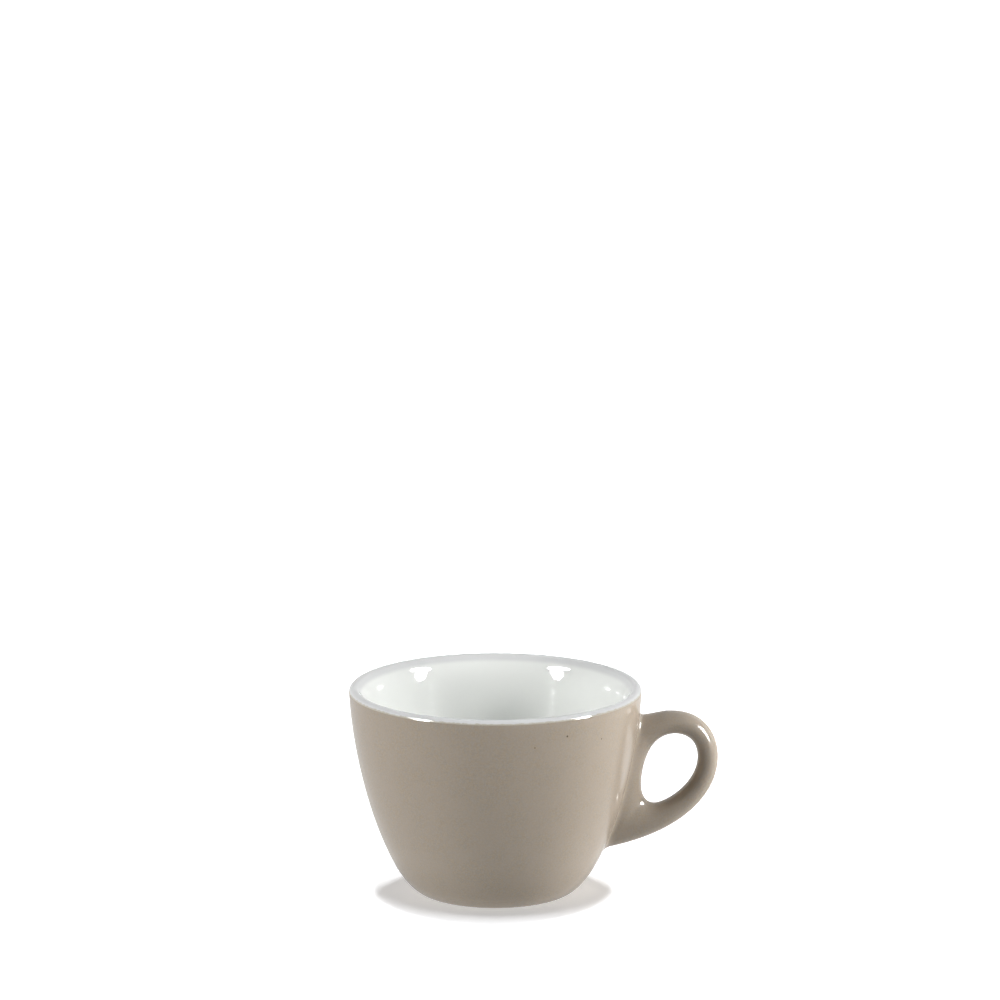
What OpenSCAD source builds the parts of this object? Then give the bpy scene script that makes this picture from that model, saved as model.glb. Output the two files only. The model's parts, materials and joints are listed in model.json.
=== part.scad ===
// Cappuccino cup: a thrown-profile bowl with a separately cast ring handle stuck on with slip,
// glazed white inside and over the lip, and satin taupe outside and on the handle.
// Millimetres. The bowl's axis is Z, the table is z = 0 and the handle points along +X.

/* [Bowl] */
// Outside diameter of the glazed rim
rim_d = 90; // [80:0.5:100]
// Height of the glazed cup over the table
cup_h = 63.9; // [56:0.1:72]
// Radius of the rounded lip, half the wall at the rim
lip_r = 1.7; // [1.4:0.05:2.2]
// Lean of the outside wall just under the lip, in degrees
rim_lean = 3; // [1:0.5:8]
// Lean of the outside wall where it runs into the foot, in degrees
foot_lean = 62; // [50:1:70]
// Thickness of the wall under the tapered rim, measured level
wall_t = 5.4; // [4.4:0.1:6.4]
// Height over which the wall tapers up to the lip
taper_h = 12; // [9:0.5:16]
// Lean of the inside wall where the taper starts at the lip, in degrees
taper_lean = 37; // [25:1:45]
// Height of the inside floor over the table
floor_h = 7; // [6:0.1:9]
// Diameter of the flat middle of the inside floor
floor_d = 26; // [20:1:32]

/* [Foot] */
// Outside diameter of the ring that stands on the table
foot_d = 47.6; // [42:0.2:54]
// Width of the standing face of the foot ring
foot_w = 3; // [2:0.1:5]
// Rounding of the foot ring's outer edge
foot_round = 1.2; // [0.8:0.1:1.8]
// Rounding of the foot ring's inner edge
foot_ease = 0.7; // [0.3:0.1:1.2]
// Depth of the recess inside the foot ring
recess_h = 2.2; // [1.5:0.1:2.6]

/* [Handle] */
// Width of the finger hole
hole_w = 17.2; // [14:0.1:22]
// Height of the finger hole
hole_h = 22.1; // [18:0.1:26]
// Drop from the rim to the top of the finger hole
hole_drop = 15.1; // [13:0.1:18]
// Web of clay between the bowl and the finger hole
web_w = 4.6; // [3:0.1:7]
// Thickness of the handle outside the finger hole, where it is held
grip_t = 6.4; // [5:0.1:9]
// Thickness of the handle over the finger hole
arm_t = 7.1; // [5.5:0.1:9]
// Height of the handle's lower root over the table
root_h = 12.1; // [9:0.1:16]
// Breadth of the handle across its grip
grip_b = 8.6; // [6.5:0.1:11]
// Breadth of the handle at its root
root_b = 10.8; // [8:0.1:13]

/* [Layers] */
// Thickness of every coat of glaze
glaze_t = 0.3; // [0.2:0.05:0.5]
// Thickness of the slip between the bowl and the handle
slip_t = 0.5; // [0.35:0.05:0.8]
// How far the slip is squeezed out round the handle's root
slip_out = 1.2; // [0.6:0.1:2]
// Drop from the rim to the line where the white glaze meets the taupe
line_drop = 1.3; // [1:0.05:1.6]

/* [Hidden] */
clay_colour = [0.93, 0.91, 0.87];
slip_colour = [0.90, 0.87, 0.82];
white_colour = [0.93, 0.94, 0.93];
taupe_colour = [0.66, 0.62, 0.57];

// Smoothness: steps round the bowl's axis, along its wall, and along and round the handle
turn_steps = 120;
wall_steps = 28;
arc_steps = 8;
ease_steps = 3;
taper_steps = 12;
loop_steps = 72;
section_steps = 20;
quarter_steps = 16;

rim_r = rim_d / 2;
foot_r = foot_d / 2;

// Pulls of the outside wall's curve at the rim and the foot, as shares of the cup's height
wall_pull_shares = [0.417, 0.16];
// Pulls of the tapered rim's inside curve at the lip and at its foot, as shares of its height
taper_pull_shares = [0.35, 0.45];
// Pulls of the inside wall's curve below the taper and at the floor, as shares of the cup's height
inside_pull_shares = [0.42, 0.26];
// Run of the recess wall inside the foot ring, and the dome of its ceiling, as shares of its depth
recess_shares = [0.8, 0.12];
// Angle at which the rounded inner edge of the foot ring turns into the recess wall
recess_lean = 30;

// A cubic curve through a and d with the pull points b and c
function curve_point(a, b, c, d, t) =
    pow(1 - t, 3) * a + 3 * pow(1 - t, 2) * t * b + 3 * (1 - t) * t * t * c + pow(t, 3) * d;
function curve_slope(a, b, c, d, t) =
    3 * pow(1 - t, 2) * (b - a) + 6 * (1 - t) * t * (c - b) + 3 * t * t * (d - c);
function unit(v) = v / norm(v);
function turn_left(v) = [-v[1], v[0]];
function heading(a) = [cos(a), sin(a)];

// Outside of the bowl: lip centre, wall curve from lip to foot, and foot edge
lip_centre = [rim_r - lip_r, cup_h - lip_r];
foot_centre = [foot_r, foot_round];
wall_top = lip_centre + lip_r * heading(-rim_lean);
wall_foot = foot_centre + foot_round * heading(-foot_lean);
wall_top_pull = wall_top - wall_pull_shares[0] * cup_h * heading(90 - rim_lean);
wall_foot_pull = wall_foot + wall_pull_shares[1] * cup_h * heading(90 - foot_lean);

function wall_point(t, inset) =
    curve_point(wall_top, wall_top_pull, wall_foot_pull, wall_foot, t)
    + inset * unit(turn_left(-curve_slope(wall_top, wall_top_pull, wall_foot_pull, wall_foot, t)));

// The wall's radius at a height, read from points along its curve
wall_radii = [
    for (i = [0:wall_steps])
        let (p = wall_point(i / wall_steps, 0))
        [p[1], p[0]]
];
function wall_radius(z) = lookup(z, wall_radii);

// Outside outline from the colour line's side of the lip down to the table, set in by inset
function outside_outline(inset, top_angle) = concat(
    [for (i = [0:arc_steps])
        lip_centre + (lip_r - inset) * heading(top_angle - (top_angle + rim_lean) * i / arc_steps)],
    [for (i = [1:wall_steps - 1]) wall_point(i / wall_steps, inset)],
    [for (i = [0:arc_steps])
        foot_centre + (foot_round - inset) * heading(-foot_lean - (90 - foot_lean) * i / arc_steps)]
);

// Inside outline from the lip down the taper and the wall to the middle of the floor, set out
// into the clay by outset
neck_lean = 7;
taper_top = lip_centre + lip_r * heading(180 - taper_lean);
neck = [wall_radius(cup_h - taper_h) - wall_t, cup_h - taper_h];
inside_floor = [floor_d / 2, floor_h];
taper_curve = [
    taper_top, taper_top - taper_pull_shares[0] * taper_h * heading(90 - taper_lean),
    neck + taper_pull_shares[1] * taper_h * heading(90 - neck_lean), neck
];
inside_curve = [
    neck, neck - inside_pull_shares[0] * cup_h * heading(90 - neck_lean),
    inside_floor + [inside_pull_shares[1] * cup_h, 0], inside_floor
];
function inside_point(c, t, outset) =
    curve_point(c[0], c[1], c[2], c[3], t)
    - outset * unit(turn_left(-curve_slope(c[0], c[1], c[2], c[3], t)));
function inside_outline(outset, top_angle) = concat(
    [for (i = [0:arc_steps])
        lip_centre + (lip_r - outset) * heading(top_angle + (180 - taper_lean - top_angle) * i / arc_steps)],
    [for (i = [1:taper_steps]) inside_point(taper_curve, i / taper_steps, outset)],
    [for (i = [1:wall_steps]) inside_point(inside_curve, i / wall_steps, outset)],
    [[0, floor_h - outset]]
);

// Underside of the foot: standing face, rounded inner edge, recess wall and a slightly domed ceiling
recess_r = foot_r - foot_w;
ceiling_r = recess_r - foot_ease - recess_shares[0] * recess_h;
standing_outline = concat(
    [[foot_r, 0]],
    [for (i = [0:ease_steps])
        [recess_r, foot_ease] + foot_ease * heading(-90 - (90 - recess_lean) * i / ease_steps)]
);
ceiling_dome = recess_shares[1] * recess_h;
function ceiling_outline(drop) = [
    [0, recess_h + ceiling_dome - drop],
    [ceiling_r / 2, recess_h + ceiling_dome * 3 / 4 - drop],
    [ceiling_r, recess_h - drop]
];

// Angle on the lip where the white glaze stops and the taupe starts
line_angle = asin((lip_r - line_drop) / lip_r);

module turned(outline) {
    rotate_extrude($fn = turn_steps) polygon(outline);
}

// Everything inside the bowl's outside face, as one solid that cuts and backs the handle
module bowl_solid(grow) {
    outline = outside_outline(glaze_t - grow, 90);
    turned(concat([[0, cup_h - glaze_t + grow]], outline, [[0, outline[len(outline) - 1][1]]]));
}

// Finger hole: a closed curve of four quarters from the grip side, turning over the top
hole_top = cup_h - hole_drop;
hole_low = hole_top - hole_h;
// Height of the hole's right, place of its top and its bottom, height of its left, as shares of its box
hole_knot_shares = [0.662, 0.6, 0.239, 0.278];
hole_left = wall_radius(hole_low + hole_knot_shares[3] * hole_h) + web_w;
// Pulls before and after each of those knots, as shares of the box's width or height
hole_pull_shares = [[0.37, 0.236], [0.2, 0.539], [0.113, 0.113], [0.196, 0.214]];
hole_right_knot = [hole_left + hole_w, hole_low + hole_knot_shares[0] * hole_h];
hole_top_knot = [hole_left + hole_knot_shares[1] * hole_w, hole_top];
hole_left_knot = [hole_left, hole_low + hole_knot_shares[3] * hole_h];
hole_low_knot = [hole_left + hole_knot_shares[2] * hole_w, hole_low];
hole_curves = [
    [hole_right_knot, hole_right_knot + [0, hole_pull_shares[0][1] * hole_h],
     hole_top_knot + [hole_pull_shares[1][0] * hole_w, 0], hole_top_knot],
    [hole_top_knot, hole_top_knot - [hole_pull_shares[1][1] * hole_w, 0],
     hole_left_knot + [0, hole_pull_shares[2][0] * hole_h], hole_left_knot],
    [hole_left_knot, hole_left_knot - [0, hole_pull_shares[2][1] * hole_h],
     hole_low_knot - [hole_pull_shares[3][0] * hole_w, 0], hole_low_knot],
    [hole_low_knot, hole_low_knot + [hole_pull_shares[3][1] * hole_w, 0],
     hole_right_knot - [0, hole_pull_shares[0][0] * hole_h], hole_right_knot]
];

// Outside of the handle: from the grip over the arm to the upper root, down inside the bowl's
// wall to the lower root, and back along the underside to the grip
loop_top = hole_top + arm_t;
loop_right = hole_left + hole_w + grip_t;
// How far both roots run in under the wall's face
upper_sink = 2.4;
lower_sink = 1.2;
loop_left = wall_radius(root_h) - lower_sink;
loop_w = loop_right - loop_left;
loop_h = loop_top - root_h;
// Height of the grip's farthest point, place of the arm's highest point and height of the upper
// root, as shares of the loop's box
loop_knot_shares = [0.668, 0.609, 0.958];
// Pulls along the loop as shares of its box: grip up, arm right and left, upper root, lower root, grip down
loop_pull_shares = [0.176, 0.259, 0.102, 0.342, 0.683, 0.284];
upper_lean = 9;
lower_lean = 10.3;
grip_knot = [loop_right, root_h + loop_knot_shares[0] * loop_h];
arm_knot = [loop_left + loop_knot_shares[1] * loop_w, loop_top];
upper_z = root_h + loop_knot_shares[2] * loop_h;
upper_knot = [wall_radius(upper_z) - upper_sink, upper_z];
lower_knot = [loop_left, root_h];
loop_curves = [
    [grip_knot, grip_knot + [0, loop_pull_shares[0] * loop_h],
     arm_knot + [loop_pull_shares[1] * loop_w, 0], arm_knot],
    [arm_knot, arm_knot - [loop_pull_shares[2] * loop_w, 0],
     upper_knot + loop_pull_shares[3] * loop_w * heading(upper_lean), upper_knot],
    [upper_knot, upper_knot * 2 / 3 + lower_knot / 3, upper_knot / 3 + lower_knot * 2 / 3, lower_knot],
    [lower_knot, lower_knot + loop_pull_shares[4] * loop_w * heading(lower_lean),
     grip_knot - [0, loop_pull_shares[5] * loop_h], grip_knot]
];

// Both closed curves are read as a reach from the hole's centre in every direction
ring_centre = [hole_left + hole_w / 2, hole_low + hole_h / 2];
function direction(p) = atan2(p[1], p[0]);
function reaches(curves) =
    let (
        start = direction(curves[0][0] - ring_centre),
        points = [for (c = curves, i = [0:quarter_steps - 1])
            curve_point(c[0], c[1], c[2], c[3], i / quarter_steps) - ring_centre],
        first = [start, norm(points[0])],
        rest = [for (i = [1:len(points) - 1])
            let (a = direction(points[i]))
            [a < start ? a + 360 : a, norm(points[i])]]
    )
    concat([first], rest, [[start + 360, first[1]]]);
hole_reaches = reaches(hole_curves);
loop_reaches = reaches(loop_curves);
function reach(table, a) = lookup(a < table[0][0] ? a + 360 : a, table);

// Half the handle's breadth, from the grip round to the root
function half_breadth(a) = (grip_b + (root_b - grip_b) * (1 - cos(a)) / 2) / 2;

// The whole ring of the handle, each section an oval between the two curves, grown all round
module handle_ring(grow) {
    points = [
        for (i = [0:loop_steps - 1], j = [0:section_steps - 1])
            let (
                a = 360 * i / loop_steps,
                s = 360 * j / section_steps,
                low = reach(hole_reaches, a) - grow,
                high = reach(loop_reaches, a) + grow,
                out = (low + high) / 2 + (high - low) / 2 * cos(s)
            )
            [
                ring_centre[0] + out * cos(a),
                (half_breadth(a) + grow) * sin(s),
                ring_centre[1] + out * sin(a)
            ]
    ];
    function at(i, j) = (i % loop_steps) * section_steps + j % section_steps;
    faces = [
        for (i = [0:loop_steps - 1], j = [0:section_steps - 1], half = [0:1])
            half == 0
                ? [at(i, j), at(i + 1, j), at(i + 1, j + 1)]
                : [at(i, j), at(i + 1, j + 1), at(i, j + 1)]
    ];
    polyhedron(points, faces);
}

// Fired clay bowl with its foot ring, jiggered to this profile
module cup_body() {
    ceiling = ceiling_outline(0);
    inside = inside_outline(glaze_t, 90);
    color(clay_colour)
    turned(concat(
        outside_outline(glaze_t, 90),
        standing_outline,
        [ceiling[2], ceiling[1], ceiling[0]],
        [for (i = [len(inside) - 1:-1:1]) inside[i]]
    ));
}

// Cast clay handle, its root cut to the bowl's wall with room for the slip
module handle() {
    color(clay_colour)
    difference() {
        handle_ring(-glaze_t);
        bowl_solid(slip_t);
    }
}

// Pad of slip that joins the handle to the bowl, squeezed out round the root
module slip_joint() {
    color(slip_colour)
    intersection() {
        difference() {
            bowl_solid(slip_t);
            bowl_solid(0);
        }
        handle_ring(slip_out);
    }
}

// White gloss glaze over the inside and the lip
module inner_glaze() {
    face = inside_outline(0, line_angle);
    back = inside_outline(glaze_t, line_angle);
    color(white_colour)
    turned(concat(face, [for (i = [len(back) - 1:-1:0]) back[i]]));
}

// Satin taupe coat on the outside of the bowl, open where the slip and the handle sit
module outer_glaze() {
    face = outside_outline(0, line_angle);
    back = outside_outline(glaze_t, line_angle);
    color(taupe_colour)
    difference() {
        turned(concat(face, [for (i = [len(back) - 1:-1:0]) back[i]]));
        handle_ring(slip_out);
    }
}

// The same satin taupe coat on the handle
module handle_glaze() {
    color(taupe_colour)
    difference() {
        handle_ring(0);
        handle_ring(-glaze_t);
        bowl_solid(slip_t);
    }
}

// White glaze on the recess ceiling inside the foot ring
module base_glaze() {
    face = ceiling_outline(glaze_t);
    back = ceiling_outline(0);
    color(white_colour)
    turned([face[0], face[1], face[2], back[2], back[1], back[0]]);
}

cup_body();
handle();
slip_joint();
inner_glaze();
outer_glaze();
handle_glaze();
base_glaze();
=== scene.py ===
import json
import math

import bmesh
import bpy
import numpy as np
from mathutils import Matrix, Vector

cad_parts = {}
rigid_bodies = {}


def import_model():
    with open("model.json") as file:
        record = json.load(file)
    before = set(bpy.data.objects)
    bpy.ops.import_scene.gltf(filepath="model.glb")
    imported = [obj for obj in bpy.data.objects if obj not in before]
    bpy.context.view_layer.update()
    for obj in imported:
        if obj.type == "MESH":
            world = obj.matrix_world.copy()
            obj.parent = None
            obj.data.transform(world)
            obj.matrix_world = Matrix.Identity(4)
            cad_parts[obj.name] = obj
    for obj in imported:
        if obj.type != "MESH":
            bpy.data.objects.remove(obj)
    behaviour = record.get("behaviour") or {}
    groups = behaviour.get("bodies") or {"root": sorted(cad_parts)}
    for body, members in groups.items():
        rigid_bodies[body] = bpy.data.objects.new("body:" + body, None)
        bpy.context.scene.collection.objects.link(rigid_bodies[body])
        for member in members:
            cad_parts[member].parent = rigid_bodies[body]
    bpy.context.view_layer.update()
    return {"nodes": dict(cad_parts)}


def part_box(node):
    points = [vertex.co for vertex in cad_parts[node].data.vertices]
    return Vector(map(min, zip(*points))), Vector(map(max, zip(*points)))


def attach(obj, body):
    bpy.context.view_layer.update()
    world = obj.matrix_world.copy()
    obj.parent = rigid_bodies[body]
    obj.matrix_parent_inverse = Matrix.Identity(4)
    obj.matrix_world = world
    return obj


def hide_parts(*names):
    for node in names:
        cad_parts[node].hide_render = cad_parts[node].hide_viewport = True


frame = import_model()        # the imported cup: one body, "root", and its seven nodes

MM = 0.001
bpy.context.scene.view_settings.view_transform = "Standard"

# The camera stands where the photograph was taken from: 1.3 m off, looking down at 15 degrees.
# The cup sits low in the picture, so the lens looks over it, and the spot on the axis
# halfway up the cup falls on the pixel below.
spot_height = 32 * MM
spot_pixel = (495.15, 785.94)
image_pixels = 1000
view_distance = 1.3
view_elevation = math.radians(15.08)
focal_pixels = 4205.3

camera = bpy.data.objects.new("camera", bpy.data.cameras.new("camera"))
bpy.context.scene.collection.objects.link(camera)
camera.data.sensor_width = 36
camera.data.lens = camera.data.sensor_width * focal_pixels / image_pixels
camera.data.clip_start = 0.05
camera.data.clip_end = 20
camera.location = (
    0,
    -view_distance * math.cos(view_elevation),
    spot_height + view_distance * math.sin(view_elevation),
)
pitch = view_elevation - math.atan((spot_pixel[1] - image_pixels / 2) / focal_pixels)
turn = math.atan((spot_pixel[0] - image_pixels / 2) / focal_pixels)
camera.rotation_euler = (math.pi / 2 - pitch, 0, turn)
bpy.context.scene.camera = camera


# The bowl is white clay, jiggered with its foot ring in one piece, and the handle is cast in a
# mould from the same clay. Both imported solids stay. Glaze covers them, and the bare clay shows
# only under the foot, on its ring.
clay_grain = 0.5 * MM
clay_patch = 7 * MM
clay_dark = (226, 220, 208)
clay_pale = (238, 234, 225)
clay_warm = (231, 224, 211)
clay_rough = (0.78, 0.9)
clay_relief = 0.02 * MM


def material(name):
    """A new node material with its shader, ready for the links of one finish."""
    made = bpy.data.materials.new(name)
    made.use_nodes = True
    shader = made.node_tree.nodes["Principled BSDF"]
    place = made.node_tree.nodes.new("ShaderNodeTexCoord").outputs["Object"]
    return made, shader, place


def noise(made, place, grain, detail=3.0, rough=0.5):
    """Noise with grains of about the given size."""
    node = made.node_tree.nodes.new("ShaderNodeTexNoise")
    node.inputs["Scale"].default_value = 1 / grain
    node.inputs["Detail"].default_value = detail
    node.inputs["Roughness"].default_value = rough
    made.node_tree.links.new(place, node.inputs["Vector"])
    return node.outputs["Fac"]


def spread(made, value, low, high, out_low, out_high):
    """Maps a value's range to another, clamped, with soft ends."""
    node = made.node_tree.nodes.new("ShaderNodeMapRange")
    node.interpolation_type = "SMOOTHSTEP"
    node.inputs["From Min"].default_value = low
    node.inputs["From Max"].default_value = high
    node.inputs["To Min"].default_value = out_low
    node.inputs["To Max"].default_value = out_high
    made.node_tree.links.new(value, node.inputs["Value"])
    return node.outputs["Result"]


def paint(red, green, blue):
    """A colour as it looks on a screen, 0 to 255, in the renderer's own scale."""
    shares = [level / 255 for level in (red, green, blue)]
    return [((s + 0.055) / 1.055) ** 2.4 if s > 0.04045 else s / 12.92 for s in shares] + [1]


def blend(made, share, first, second):
    """Mixes two colours, each a fixed colour or a socket, by a share."""
    node = made.node_tree.nodes.new("ShaderNodeMix")
    node.data_type = "RGBA"
    made.node_tree.links.new(share, node.inputs["Factor"])
    for colour, socket in ((first, node.inputs["A"]), (second, node.inputs["B"])):
        if isinstance(colour, bpy.types.NodeSocket):
            made.node_tree.links.new(colour, socket)
        else:
            socket.default_value = paint(*colour)
    return node.outputs["Result"]


def relief(made, shader, value, depth):
    """Small hills and dents of the given depth, from a value of 0 to 1."""
    node = made.node_tree.nodes.new("ShaderNodeBump")
    node.inputs["Strength"].default_value = 1
    node.inputs["Distance"].default_value = depth
    made.node_tree.links.new(value, node.inputs["Height"])
    made.node_tree.links.new(node.outputs["Normal"], shader.inputs["Normal"])


def finish_solid(node, finish):
    """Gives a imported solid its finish."""
    materials = frame["nodes"][node].data.materials
    materials.clear()
    materials.append(finish)


clay, shader, place = material("bare_clay")
speckle = spread(clay, noise(clay, place, clay_grain, detail=4), 0.35, 0.62, 0, 1)
speckled = blend(clay, speckle, clay_dark, clay_pale)
clay_colour = blend(clay, noise(clay, place, clay_patch), speckled, clay_warm)
clay.node_tree.links.new(clay_colour, shader.inputs["Base Color"])
clay.node_tree.links.new(spread(clay, speckle, 0, 1, *clay_rough), shader.inputs["Roughness"])
relief(clay, shader, speckle, clay_relief)
finish_solid("cup_body", clay)
finish_solid("handle", clay)


# The slip is the same clay, thinned with water: it sticks the handle's root to the bowl
# and is fired solid with both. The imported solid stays, hidden under the taupe coat.
slip_lump = 1.2 * MM
slip_dark = (219, 211, 198)
slip_pale = (229, 222, 210)
slip_rough = 0.85
slip_relief = 0.05 * MM

slip, shader, place = material("fired_slip")
lumps = noise(slip, place, slip_lump, detail=2)
slip.node_tree.links.new(blend(slip, lumps, slip_dark, slip_pale), shader.inputs["Base Color"])
shader.inputs["Roughness"].default_value = slip_rough
relief(slip, shader, lumps, slip_relief)
finish_solid("slip_joint", slip)


# White gloss glaze lines the inside and comes over the lip, where the wall tapers. It is poured
# in and wiped to a level line 1.3 mm under the top of the rim. The bowl's section is worked out
# here, and the coat outside follows it too.
rim_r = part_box("outer_glaze")[1].y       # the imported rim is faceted, and reaches least along Y
cup_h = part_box("inner_glaze")[1].z
glaze_t = 0.3 * MM
lip_r = 1.7 * MM
line_drop = 1.3 * MM
rim_lean = 3
foot_r = 23.8 * MM
foot_round = 1.2 * MM
foot_lean = 62
wall_pull_shares = (0.417, 0.16)
wall_t = 5.4 * MM
taper_h = 12 * MM
taper_lean = 37
neck_lean = 7
taper_pull_shares = (0.35, 0.45)
floor_h = 7 * MM
floor_r = 13 * MM
inside_pull_shares = (0.42, 0.26)


def heading(degrees):
    """A step of 1 in a direction, in the plane of the bowl's section."""
    return np.array([math.cos(math.radians(degrees)), math.sin(math.radians(degrees))])


def curve(a, b, c, d, steps):
    """Points along a cubic curve from a to d, pulled towards b and c."""
    t = np.linspace(0, 1, steps + 1)[:, None]
    return (1 - t) ** 3 * a + 3 * (1 - t) ** 2 * t * b + 3 * (1 - t) * t * t * c + t**3 * d


def arc(centre, radius, start, end, steps):
    """Points along an arc, with its angles in degrees."""
    return np.array([centre + radius * heading(a) for a in np.linspace(start, end, steps + 1)])


lip_centre = np.array([rim_r - lip_r, cup_h - lip_r])
foot_centre = np.array([foot_r, foot_round])
wall_top = lip_centre + lip_r * heading(-rim_lean)
wall_foot = foot_centre + foot_round * heading(-foot_lean)
outside_wall = curve(
    wall_top,
    wall_top - wall_pull_shares[0] * cup_h * heading(90 - rim_lean),
    wall_foot + wall_pull_shares[1] * cup_h * heading(90 - foot_lean),
    wall_foot,
    steps=120,
)


def wall_radius(z):
    """The bowl's outside radius at a height."""
    return np.interp(z, outside_wall[::-1, 1], outside_wall[::-1, 0])


line_angle = math.degrees(math.asin((lip_r - line_drop) / lip_r))
lip = arc(lip_centre, lip_r, line_angle, 180 - taper_lean, steps=28)
taper_top = lip_centre + lip_r * heading(180 - taper_lean)
neck = np.array([wall_radius(cup_h - taper_h) - wall_t, cup_h - taper_h])
taper = curve(
    taper_top,
    taper_top - taper_pull_shares[0] * taper_h * heading(90 - taper_lean),
    neck + taper_pull_shares[1] * taper_h * heading(90 - neck_lean),
    neck,
    steps=40,
)
floor_edge = np.array([floor_r, floor_h])
inside_wall = curve(
    neck,
    neck - inside_pull_shares[0] * cup_h * heading(90 - neck_lean),
    floor_edge + np.array([inside_pull_shares[1] * cup_h, 0]),
    floor_edge,
    steps=90,
)
floor_line = np.column_stack([np.linspace(floor_r, 0, 13), np.full(13, floor_h)])
white_face = np.vstack([lip, taper[1:], inside_wall[1:], floor_line[1:]])


def set_back(points, depth):
    """The same outline, moved to the left of its run by a depth."""
    run = np.gradient(points, axis=0)
    run /= np.hypot(run[:, 0], run[:, 1])[:, None]
    moved = points + depth * np.column_stack([-run[:, 1], run[:, 0]])
    moved[:, 0] = np.maximum(moved[:, 0], 0)
    return moved


def crisp(mesh, degrees=40):
    """Smooth shading that keeps the true corners."""
    mesh.shade_smooth()
    shaped = bmesh.new()
    shaped.from_mesh(mesh)
    for edge in shaped.edges:
        edge.smooth = len(edge.link_faces) == 2 and edge.calc_face_angle(0) < math.radians(degrees)
    shaped.to_mesh(mesh)
    shaped.free()


def turned(name, outline, steps, finish):
    """A closed outline turned round the bowl's axis, as a thrown or poured layer is."""
    around = np.linspace(0, 2 * math.pi, steps, endpoint=False)
    count = len(outline)
    points = [(r * math.cos(a), r * math.sin(a), z) for a in around for r, z in outline]
    faces = []
    for i in range(steps):
        for j in range(count):
            here, there = i * count, (i + 1) % steps * count
            beside = (j + 1) % count
            faces.append((here + j, there + j, there + beside, here + beside))
    mesh = bpy.data.meshes.new(name)
    mesh.from_pydata(points, [], faces)
    shaped = bmesh.new()
    shaped.from_mesh(mesh)
    bmesh.ops.remove_doubles(shaped, verts=shaped.verts, dist=0.001 * MM)
    bmesh.ops.recalc_face_normals(shaped, faces=shaped.faces)
    shaped.to_mesh(mesh)
    shaped.free()
    crisp(mesh)
    mesh.materials.append(finish)
    piece = bpy.data.objects.new(name, mesh)
    bpy.context.scene.collection.objects.link(piece)
    return piece


def height(made, place):
    """Height over the table."""
    parts = made.node_tree.nodes.new("ShaderNodeSeparateXYZ")
    made.node_tree.links.new(place, parts.inputs[0])
    return parts.outputs["Z"]


def from_axis(made, place):
    """Distance from the bowl's axis."""
    level = made.node_tree.nodes.new("ShaderNodeVectorMath")
    level.operation = "MULTIPLY"
    level.inputs[1].default_value = (1, 1, 0)
    made.node_tree.links.new(place, level.inputs[0])
    length = made.node_tree.nodes.new("ShaderNodeVectorMath")
    length.operation = "LENGTH"
    made.node_tree.links.new(level.outputs["Vector"], length.inputs[0])
    return length.outputs["Value"]


def combined(made, operation, first, second):
    """Two values joined by one operation of arithmetic."""
    node = made.node_tree.nodes.new("ShaderNodeMath")
    node.operation = operation
    made.node_tree.links.new(first, node.inputs[0])
    made.node_tree.links.new(second, node.inputs[1])
    return node.outputs["Value"]


# The lip is painted a little greyer than the inside: painted shade on its upward face. The white thins
# out just over the wiped line, and shows there as a pale olive edge with small waves. Depths are from the
# top of the rim.
white_tints = ((238, 240, 237), (235, 237, 234))
white_patch = 22 * MM
lip_shade_white = (217, 218, 218)
lip_shade_depths = (2.6 * MM, 1.2 * MM)
thin_olive = (186, 180, 164)
thin_depths = (1.1 * MM, 0.7 * MM)
thin_from_rim = (1.4 * MM, 0.7 * MM)
thin_wave = 0.12 * MM
thin_wave_length = 1.5 * MM
white_rough = (0.01, 0.016)
white_rough_patch = 2 * MM
ripple_length = 9 * MM
ripple_depth = 0.02 * MM

white, shader, place = material("white_gloss")
white_colour = blend(white, noise(white, place, white_patch, detail=2), *white_tints)
over_table = height(white, place)
# Painted shade: the top of the lip is greyer than the inside
lip_shade_share = spread(white, over_table, cup_h - lip_shade_depths[0], cup_h - lip_shade_depths[1], 0, 1)
white_colour = blend(white, lip_shade_share, white_colour, lip_shade_white)
flow = noise(white, place, thin_wave_length, detail=2)
wave = spread(white, flow, 0.3, 0.7, -thin_wave, thin_wave)
wavy_height = combined(white, "ADD", over_table, wave)
near_line = spread(white, wavy_height, cup_h - thin_depths[0], cup_h - thin_depths[1], 1, 0)
on_outside = spread(white, from_axis(white, place), rim_r - thin_from_rim[0], rim_r - thin_from_rim[1], 0, 1)
thin_share = combined(white, "MULTIPLY", near_line, on_outside)
white_colour = blend(white, thin_share, white_colour, thin_olive)
white.node_tree.links.new(white_colour, shader.inputs["Base Color"])
white_gloss = spread(white, noise(white, place, white_rough_patch), 0.3, 0.7, *white_rough)
white.node_tree.links.new(white_gloss, shader.inputs["Roughness"])
relief(white, shader, noise(white, place, ripple_length, detail=1), ripple_depth)
white_back = set_back(white_face, glaze_t)[::-1]
white_glaze = turned("white_glaze", np.vstack([white_face, white_back]), steps=256, finish=white)
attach(white_glaze, "root")
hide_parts("inner_glaze")


# The satin taupe coat is sprayed over the bowl's outside and the handle in one go, so it runs
# unbroken through the hollow round the root. It ends at the white line and at the foot.
hole_w = 17.2 * MM
hole_h = 22.1 * MM
hole_drop = 15.1 * MM
web_w = 4.6 * MM
grip_t = 6.4 * MM
arm_t = 7.1 * MM
root_h = 12.1 * MM
grip_b = 8.6 * MM
root_b = 10.8 * MM
upper_sink = 2.4 * MM
lower_sink = 1.2 * MM
upper_lean = 9
lower_lean = 10.3
# Knots and pulls of the finger hole and of the handle's outside, as shares of their boxes
hole_knots = (0.662, 0.6, 0.239, 0.278)
hole_pulls = ((0.37, 0.236), (0.2, 0.539), (0.113, 0.113), (0.196, 0.214))
loop_knots = (0.668, 0.609, 0.958)
loop_pulls = (0.176, 0.259, 0.102, 0.342, 0.683, 0.284)

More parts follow.
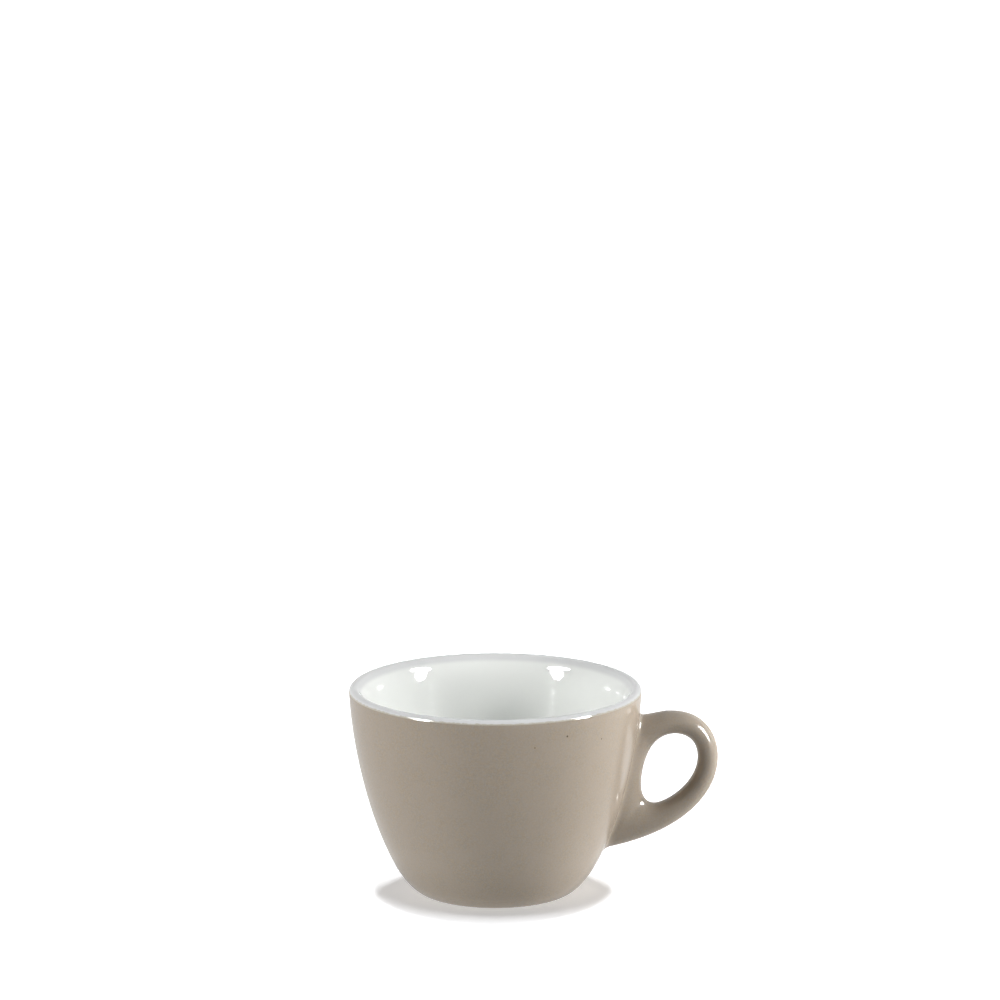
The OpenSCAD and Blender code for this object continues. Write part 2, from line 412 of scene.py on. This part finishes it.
hole_top = cup_h - hole_drop
hole_low = hole_top - hole_h
hole_left = float(wall_radius(hole_low + hole_knots[3] * hole_h)) + web_w
over = np.array([0, 1.0])
along = np.array([1.0, 0])
hole_right_knot = np.array([hole_left + hole_w, hole_low + hole_knots[0] * hole_h])
hole_top_knot = np.array([hole_left + hole_knots[1] * hole_w, hole_top])
hole_left_knot = np.array([hole_left, hole_low + hole_knots[3] * hole_h])
hole_low_knot = np.array([hole_left + hole_knots[2] * hole_w, hole_low])
hole_curves = [
    (hole_right_knot, hole_right_knot + hole_pulls[0][1] * hole_h * over,
     hole_top_knot + hole_pulls[1][0] * hole_w * along, hole_top_knot),
    (hole_top_knot, hole_top_knot - hole_pulls[1][1] * hole_w * along,
     hole_left_knot + hole_pulls[2][0] * hole_h * over, hole_left_knot),
    (hole_left_knot, hole_left_knot - hole_pulls[2][1] * hole_h * over,
     hole_low_knot - hole_pulls[3][0] * hole_w * along, hole_low_knot),
    (hole_low_knot, hole_low_knot + hole_pulls[3][1] * hole_w * along,
     hole_right_knot - hole_pulls[0][0] * hole_h * over, hole_right_knot),
]

loop_left = float(wall_radius(root_h)) - lower_sink
loop_w = hole_left + hole_w + grip_t - loop_left
loop_h = hole_top + arm_t - root_h
grip_knot = np.array([loop_left + loop_w, root_h + loop_knots[0] * loop_h])
arm_knot = np.array([loop_left + loop_knots[1] * loop_w, root_h + loop_h])
upper_z = root_h + loop_knots[2] * loop_h
upper_knot = np.array([float(wall_radius(upper_z)) - upper_sink, upper_z])
lower_knot = np.array([loop_left, root_h])
loop_curves = [
    (grip_knot, grip_knot + loop_pulls[0] * loop_h * over,
     arm_knot + loop_pulls[1] * loop_w * along, arm_knot),
    (arm_knot, arm_knot - loop_pulls[2] * loop_w * along,
     upper_knot + loop_pulls[3] * loop_w * heading(upper_lean), upper_knot),
    (upper_knot, upper_knot * 2 / 3 + lower_knot / 3, upper_knot / 3 + lower_knot * 2 / 3, lower_knot),
    (lower_knot, lower_knot + loop_pulls[4] * loop_w * heading(lower_lean),
     grip_knot - loop_pulls[5] * loop_h * over, grip_knot),
]


def whole(curves, steps=60):
    """The points of several curves, end to end."""
    return np.vstack([curve(*c, steps)[:-1] for c in curves])


def reaches(outline, centre):
    """How far an outline lies from a centre, as angles and distances."""
    away = outline - centre
    return np.arctan2(away[:, 1], away[:, 0]), np.hypot(away[:, 0], away[:, 1])


ring_centre = np.array([hole_left + hole_w / 2, hole_low + hole_h / 2])
hole_reach = reaches(whole(hole_curves), ring_centre)
loop_reach = reaches(whole(loop_curves), ring_centre)
bowl_centre = np.array([0, cup_h / 2])
bowl_outline = np.vstack([
    np.column_stack([np.linspace(0, lip_centre[0], 60, endpoint=False), np.full(60, cup_h)]),
    arc(lip_centre, lip_r, 90, -rim_lean, steps=20)[:-1],
    outside_wall[:-1],
    arc(foot_centre, foot_round, -foot_lean, -90, steps=12),
    np.column_stack([np.linspace(foot_r, 0, 60), np.zeros(60)])[1:],
])
bowl_reach = reaches(bowl_outline, bowl_centre)


def bowl_level(points):
    """Below 0 inside the bowl's outside face, above 0 outside it."""
    r, z = np.hypot(points[:, 0], points[:, 1]), points[:, 2] - bowl_centre[1]
    return np.hypot(r, z) - np.interp(np.arctan2(z, r), *[side[::-1] for side in bowl_reach])


def half_breadth(angle):
    """Half the handle's breadth, from the grip round to the root."""
    return (grip_b + (root_b - grip_b) * (1 - np.cos(angle)) / 2) / 2


def ring_edges(angle):
    """The distances of the ring's inner and outer edge from its centre, at an angle."""
    inner = np.interp(angle, *hole_reach, period=2 * math.pi)
    outer = np.interp(angle, *loop_reach, period=2 * math.pi)
    return inner, outer


def handle_level(points):
    """Below 0 inside the handle's ring, above 0 outside it."""
    x, z = points[:, 0] - ring_centre[0], points[:, 2] - ring_centre[1]
    angle, away = np.arctan2(z, x), np.hypot(x, z)
    inner, outer = ring_edges(angle)
    middle, half = (inner + outer) / 2, (outer - inner) / 2
    return np.hypot((away - middle) / half, points[:, 1] / half_breadth(angle)) - 1


def rise(level, points, step=0.02 * MM):
    """The direction and rate in which a level rises at each point."""
    shifts = np.eye(3) * step
    return np.column_stack([(level(points + s) - level(points - s)) / (2 * step) for s in shifts])


def gap(level, points):
    """A level as a distance from its surface."""
    return level(points) / np.linalg.norm(rise(level, points), axis=1)


# The hollow between bowl and handle is tight over the arm, wide along the sides and at the foot.
# Its widths are given at heights that are shares of the handle's own.
hollow_shares = (0, 0.12, 0.3, 0.8, 0.97)
hollow_widths = (2 * MM, 2 * MM, 2.4 * MM, 2.4 * MM, 1.5 * MM)


def coat_level(points):
    """The glazed outside: bowl and handle run together through a smooth hollow."""
    bowl, handle = gap(bowl_level, points), gap(handle_level, points)
    wide = np.interp((points[:, 2] - root_h) / loop_h, hollow_shares, hollow_widths)
    near = np.maximum(wide - np.abs(bowl - handle), 0) / wide
    return np.minimum(bowl, handle) - near * near * wide / 4


def rough_coat(voxel, ring_steps=120, section_steps=36):
    """One closed skin over the filled bowl and the handle's ring, still in small steps."""
    rough = turned("rough", bowl_outline[::2], steps=128, finish=white)
    points = []
    for angle in np.linspace(-math.pi, math.pi, ring_steps, endpoint=False):
        inner, outer = ring_edges(angle)
        for turn_angle in np.linspace(0, 2 * math.pi, section_steps, endpoint=False):
            out = (inner + outer) / 2 + (outer - inner) / 2 * math.cos(turn_angle)
            points.append((ring_centre[0] + out * math.cos(angle),
                           half_breadth(angle) * math.sin(turn_angle),
                           ring_centre[1] + out * math.sin(angle)))
    faces = []
    for i in range(ring_steps):
        for j in range(section_steps):
            here, there = i * section_steps, (i + 1) % ring_steps * section_steps
            beside = (j + 1) % section_steps
            faces.append((here + j, there + j, there + beside, here + beside))
    ring = bpy.data.meshes.new("ring")
    ring.from_pydata(points, [], faces)
    both = bmesh.new()
    both.from_mesh(rough.data)
    both.from_mesh(ring)
    bmesh.ops.recalc_face_normals(both, faces=both.faces)
    both.to_mesh(rough.data)
    both.free()
    remesh = rough.modifiers.new("remesh", "REMESH")
    remesh.mode = "VOXEL"
    remesh.voxel_size = voxel
    shown = rough.evaluated_get(bpy.context.evaluated_depsgraph_get())
    made_skin = bpy.data.meshes.new_from_object(shown)
    bpy.data.objects.remove(rough)
    return made_skin


def draw_onto_coat(mesh, rounds):
    """Moves every point onto the true surface of the coat."""
    points = np.empty(len(mesh.vertices) * 3)
    mesh.vertices.foreach_get("co", points)
    points = points.reshape(-1, 3)
    for _ in range(rounds):
        slope = rise(coat_level, points)
        points -= coat_level(points)[:, None] * slope / (slope * slope).sum(axis=1)[:, None]
    mesh.vertices.foreach_set("co", points.ravel())
    mesh.update()


skin_voxel = 0.6 * MM
foot_clear = 0.03 * MM
skin = rough_coat(skin_voxel)
draw_onto_coat(skin, rounds=5)
shaped = bmesh.new()
shaped.from_mesh(skin)
for cut_height, outward in ((cup_h - line_drop, 1), (foot_clear, -1)):
    everything = shaped.verts[:] + shaped.edges[:] + shaped.faces[:]
    bmesh.ops.bisect_plane(shaped, geom=everything, dist=0.01 * MM, plane_co=(0, 0, cut_height),
                           plane_no=(0, 0, outward), clear_outer=True)
shaped.to_mesh(skin)
shaped.free()
skin.shade_smooth()

# The taupe has a fine mottle of two browns, each with warmer and cooler grains, under a soft
# cloud. Three bubbles burst in it and left pinholes, each painted dark brown: painted shade of its
# little pit, which the mesh doesn't have. Each one's place and radius in millimetres.
taupe_grain = 0.5 * MM
taupe_warm_grain = 0.8 * MM
taupe_patch = 6 * MM
taupe_dark = ((153, 144, 131), (158, 144, 127))
taupe_pale = ((162, 152, 139), (166, 152, 134))
taupe_cloud = (162, 150, 136)
taupe_rough = (0.14, 0.18)
taupe_relief = 0.004 * MM
pinholes = ((21.5, -39.2, 57.8, 0.3), (31.9, -30.9, 54.9, 0.2), (11.8, -42.9, 55.2, 0.2))
pinhole_shade_brown = (92, 80, 67)
pinhole_fade = (0.6, 1.4)

taupe, shader, place = material("taupe_satin")
mottle = spread(taupe, noise(taupe, place, taupe_grain, detail=4, rough=0.65), 0.34, 0.66, 0, 1)
warmth = spread(taupe, noise(taupe, place, taupe_warm_grain, rough=0.6), 0.38, 0.62, 0, 1)
cloud = spread(taupe, noise(taupe, place, taupe_patch), 0.35, 0.65, 0, 0.5)
taupe_colour = blend(taupe, mottle, blend(taupe, warmth, *taupe_dark), blend(taupe, warmth, *taupe_pale))
taupe_colour = blend(taupe, cloud, taupe_colour, taupe_cloud)
# A dark spot at each pinhole: painted shade of the pit
for x, y, z, radius in pinholes:
    fade = [share * radius * MM for share in pinhole_fade]
    away = taupe.node_tree.nodes.new("ShaderNodeVectorMath")
    away.operation = "DISTANCE"
    away.inputs[1].default_value = (x * MM, y * MM, z * MM)
    taupe.node_tree.links.new(place, away.inputs[0])
    pinhole_shade = spread(taupe, away.outputs["Value"], *fade, 1, 0)
    taupe_colour = blend(taupe, pinhole_shade, taupe_colour, pinhole_shade_brown)
taupe.node_tree.links.new(taupe_colour, shader.inputs["Base Color"])
taupe.node_tree.links.new(spread(taupe, mottle, 0, 1, *taupe_rough), shader.inputs["Roughness"])
relief(taupe, shader, mottle, taupe_relief)

skin.materials.clear()
skin.materials.append(taupe)
taupe_coat = bpy.data.objects.new("taupe_coat", skin)
bpy.context.scene.collection.objects.link(taupe_coat)
thick = taupe_coat.modifiers.new("thickness", "SOLIDIFY")
thick.thickness = glaze_t
thick.offset = -1
shown = taupe_coat.evaluated_get(bpy.context.evaluated_depsgraph_get())
thick_skin = bpy.data.meshes.new_from_object(shown)
taupe_coat.modifiers.clear()
taupe_coat.data = thick_skin
crisp(thick_skin)
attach(taupe_coat, "root")
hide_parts("outer_glaze", "handle_glaze")


# White glaze is also left on the ceiling inside the foot ring, a shade duller than the inside
# because it is thinner. The ring's own face is wiped bare so that it doesn't stick in the kiln.
foot_w = 3 * MM
foot_ease = 0.7 * MM
recess_h = 2.2 * MM
ceiling_r = foot_r - foot_w - foot_ease - 0.8 * recess_h
ceiling_dome = 0.12 * recess_h
base_tints = ((226, 227, 221), (233, 234, 230))
base_patch = 5 * MM
base_rough = (0.14, 0.22)
base_relief = 0.03 * MM

thin_white, shader, place = material("thin_white")
patch = noise(thin_white, place, base_patch)
thin_white.node_tree.links.new(blend(thin_white, patch, *base_tints), shader.inputs["Base Color"])
base_gloss = spread(thin_white, patch, 0.3, 0.7, *base_rough)
thin_white.node_tree.links.new(base_gloss, shader.inputs["Roughness"])
relief(thin_white, shader, patch, base_relief)
ceiling = curve(
    np.array([0, recess_h + ceiling_dome]),
    np.array([ceiling_r / 3, recess_h + ceiling_dome]),
    np.array([ceiling_r * 2 / 3, recess_h + ceiling_dome / 2]),
    np.array([ceiling_r, recess_h]),
    steps=24,
)
base_outline = np.vstack([ceiling - [0, glaze_t], ceiling[::-1]])
base_glaze = turned("base_glaze_skin", base_outline, steps=160, finish=thin_white)
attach(base_glaze, "root")
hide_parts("base_glaze")


# The stage is a plain white floor in a white surround. The camera sees the floor with the cup's
# shadow on it. Gloss sees it without that shadow, and with a painted shadow instead, darker close
# round the foot, and what it throws up onto the cup is weaker than white.
floor_side = 24
floor_whites = ((234, 236, 239), (238, 240, 243))
floor_patch = 300 * MM
floor_rough = 0.9
floor_glow = 0.425
floor_bounce = 0.6
floor_shine = 0.84
# Level and reach of the painted shadow that gloss sees round the foot
foot_painted_shadow = 0.45
painted_shadow_reach = (30 * MM, 46 * MM)
backdrop = 0.3
backdrop_turn = (-0.1, 0.3)
backdrop_lift = (0.5, 0.75)


def seen(made):
    """1 for what the camera, gloss and glass see of a thing, 0 for the light it throws around."""
    path = made.node_tree.nodes.new("ShaderNodeLightPath")
    share = path.outputs["Is Camera Ray"]
    for ray in ("Is Glossy Ray", "Is Transmission Ray"):
        share = combined(made, "MAXIMUM", share, path.outputs[ray])
    return share


half_side = floor_side / 2
floor_corners = [(x * half_side, y * half_side, 0) for x, y in ((-1, -1), (1, -1), (1, 1), (-1, 1))]
floor_mesh = bpy.data.meshes.new("floor")
floor_mesh.from_pydata(floor_corners, [], [(0, 1, 2, 3)])
floor = bpy.data.objects.new("floor", floor_mesh)
bpy.context.scene.collection.objects.link(floor)
floor_paint, shader, place = material("floor_paint")
floor_links = floor_paint.node_tree.links
floor_colour = blend(floor_paint, noise(floor_paint, place, floor_patch), *floor_whites)
floor_links.new(floor_colour, shader.inputs["Base Color"])
shader.inputs["Roughness"].default_value = floor_rough
shader.inputs["Specular IOR Level"].default_value = 0
shader.inputs["Emission Color"].default_value = (1, 1, 1, 1)
shader.inputs["Emission Strength"].default_value = floor_glow
thrown = floor_paint.node_tree.nodes.new("ShaderNodeEmission")
# Gloss sees the floor darker within reach of the foot: a painted shadow
gloss_floor_with_painted_shadow = spread(floor_paint, from_axis(floor_paint, place), *painted_shadow_reach, foot_painted_shadow, floor_shine)
gloss_floor_with_painted_shadow = combined(floor_paint, "MULTIPLY", seen(floor_paint), gloss_floor_with_painted_shadow)
bounce = spread(floor_paint, seen(floor_paint), 0, 1, floor_bounce, 0)
floor_links.new(combined(floor_paint, "ADD", gloss_floor_with_painted_shadow, bounce), thrown.inputs["Strength"])
by_ray = floor_paint.node_tree.nodes.new("ShaderNodeMixShader")
camera_ray = floor_paint.node_tree.nodes.new("ShaderNodeLightPath").outputs["Is Camera Ray"]
floor_links.new(camera_ray, by_ray.inputs["Fac"])
floor_links.new(thrown.outputs["Emission"], by_ray.inputs[1])
floor_links.new(shader.outputs["BSDF"], by_ray.inputs[2])
floor_links.new(by_ray.outputs["Shader"], floor_paint.node_tree.nodes["Material Output"].inputs["Surface"])
floor.data.materials.append(floor_paint)

world = bpy.data.worlds.new("surround")
bpy.context.scene.world = world
world.use_nodes = True
nodes, links = world.node_tree.nodes, world.node_tree.links
sky = nodes["Background"]
sky.inputs["Color"].default_value = (1, 1, 1, 1)
direction = nodes.new("ShaderNodeSeparateXYZ")
links.new(nodes.new("ShaderNodeTexCoord").outputs["Generated"], direction.inputs[0])


def ramp(value, low, high, out_low, out_high):
    """Maps a direction's part, or a share, to a light level, with soft ends."""
    node = nodes.new("ShaderNodeMapRange")
    node.interpolation_type = "SMOOTHSTEP"
    for name, given in (("Value", value), ("From Min", low), ("From Max", high),
                        ("To Min", out_low), ("To Max", out_high)):
        if isinstance(given, bpy.types.NodeSocket):
            links.new(given, node.inputs[name])
        else:
            node.inputs[name].default_value = given
    return node.outputs["Result"]


# Of the surround, only the part behind the cup throws light on it, and the ceiling throws none
from_behind = ramp(direction.outputs["Y"], *backdrop_turn, 0, backdrop)
below_ceiling = ramp(direction.outputs["Z"], *backdrop_lift, from_behind, 0)
links.new(ramp(seen(world), 0, 1, below_ceiling, 1), sky.inputs["Strength"])


# The lamps are those of a product studio. On each side of the camera an upright lamp with a strip
# over it lights the whole cup, with a hot core that shows only as a highlight. Large fills soften
# them, and low cards light the coat alone. Four lamps overhead light the floor alone.
hot_core = 58
core_distance = 0.99
overhead_strength = 2.1

cup_pieces = bpy.data.collections.new("lit_by_the_side_lamps")
for piece in bpy.context.scene.objects:
    if piece.type == "MESH" and piece.name != floor.name:
        cup_pieces.objects.link(piece)
coat_pieces = bpy.data.collections.new("lit_by_the_low_cards")
coat_pieces.objects.link(taupe_coat)
floor_pieces = bpy.data.collections.new("lit_from_overhead")
floor_pieces.objects.link(floor)
bowl_pieces = bpy.data.collections.new("shading_the_floor")
bowl_pieces.objects.link(frame["nodes"]["cup_body"])


def lamp(name, bearing, lift, wide, high, shape, radiance, lit, distance=1.0):
    """A soft lamp aimed at the cup, placed and sized by the angles at which the cup sees it."""
    data = bpy.data.lights.new(name, "AREA")
    data.shape = shape
    data.size = 2 * distance * math.tan(math.radians(wide / 2))
    data.size_y = 2 * distance * math.tan(math.radians(high / 2))
    area = data.size * data.size_y * (math.pi / 4 if shape == "ELLIPSE" else 1)
    data.energy = radiance * math.pi * area
    piece = bpy.data.objects.new(name, data)
    a, b = math.radians(bearing), math.radians(lift)
    away = Vector((math.sin(a) * math.cos(b), -math.cos(a) * math.cos(b), math.sin(b)))
    piece.location = away * distance + Vector((0, 0, spot_height))
    piece.rotation_euler = away.to_track_quat("Z", "Y").to_euler()
    piece.light_linking.receiver_collection = lit
    bpy.context.scene.collection.objects.link(piece)
    return piece


# Each lamp's bearing from the camera's side, its lift, its width and height, all in degrees,
# and its radiance
for name, bearing, lift, wide, high, radiance in (
    ("lamp_left", -59, 19.5, 12.5, 25, 20.5),
    ("lamp_right", 72.5, 19.5, 12.5, 25, 6),
    ("strip_left", -63.5, 32.5, 22, 9, 6),
    ("strip_right", 76, 31.5, 20, 9, 50),
):
    lamp(name, bearing, lift, wide, high, "ELLIPSE", radiance, cup_pieces)
    core = lamp(name + "_core", bearing, lift, wide, high, "ELLIPSE", hot_core, cup_pieces, core_distance)
    core.visible_diffuse = False
for name, bearing, lift, wide, high, radiance, lit in (
    ("fill_left", -80, 30, 24, 30, 2.6, cup_pieces),
    ("fill_right", 95, 30, 24, 30, 1.4, cup_pieces),
    ("card_right", 90, 3, 30, 5, 26, coat_pieces),
    ("card_behind", 120, 3, 30, 5, 27, coat_pieces),
):
    lamp(name, bearing, lift, wide, high, "RECTANGLE", radiance, lit).visible_glossy = False

# The card below shines up through the floor: only the cup's own pieces shade it
card_below = lamp("card_below", 0, -85, 60, 60, "RECTANGLE", 0.8, coat_pieces)
card_below.visible_glossy = False
card_below.light_linking.blocker_collection = cup_pieces

# The overhead lamps lean each way, and only the bowl shades them, so that one shadow lies close
# round the foot: each lamp's two leans and its softness, in degrees
for name, lean_back, lean_right, soft in (
    ("lamp_over_left", 0, -6, 4),
    ("lamp_over_right", 0, 8, 4),
    ("lamp_over_front", 9, 0, 15),
    ("lamp_over_back", -30, 0, 8),
):
    overhead = bpy.data.objects.new(name, bpy.data.lights.new(name, "SUN"))
    overhead.data.energy = overhead_strength
    overhead.data.angle = math.radians(soft)
    overhead.rotation_euler = (math.radians(lean_back), math.radians(lean_right), 0)
    overhead.light_linking.receiver_collection = floor_pieces
    overhead.light_linking.blocker_collection = bowl_pieces
    bpy.context.scene.collection.objects.link(overhead)

# The lamps show a second time in the bowl, mirrored from wall to wall, so gloss may bounce often
# and what it brings isn't cut. Only light focused onto matt surfaces by gloss is left out.
bpy.context.scene.cycles.caustics_reflective = False
bpy.context.scene.cycles.sample_clamp_indirect = 0
bpy.context.scene.cycles.glossy_bounces = 12
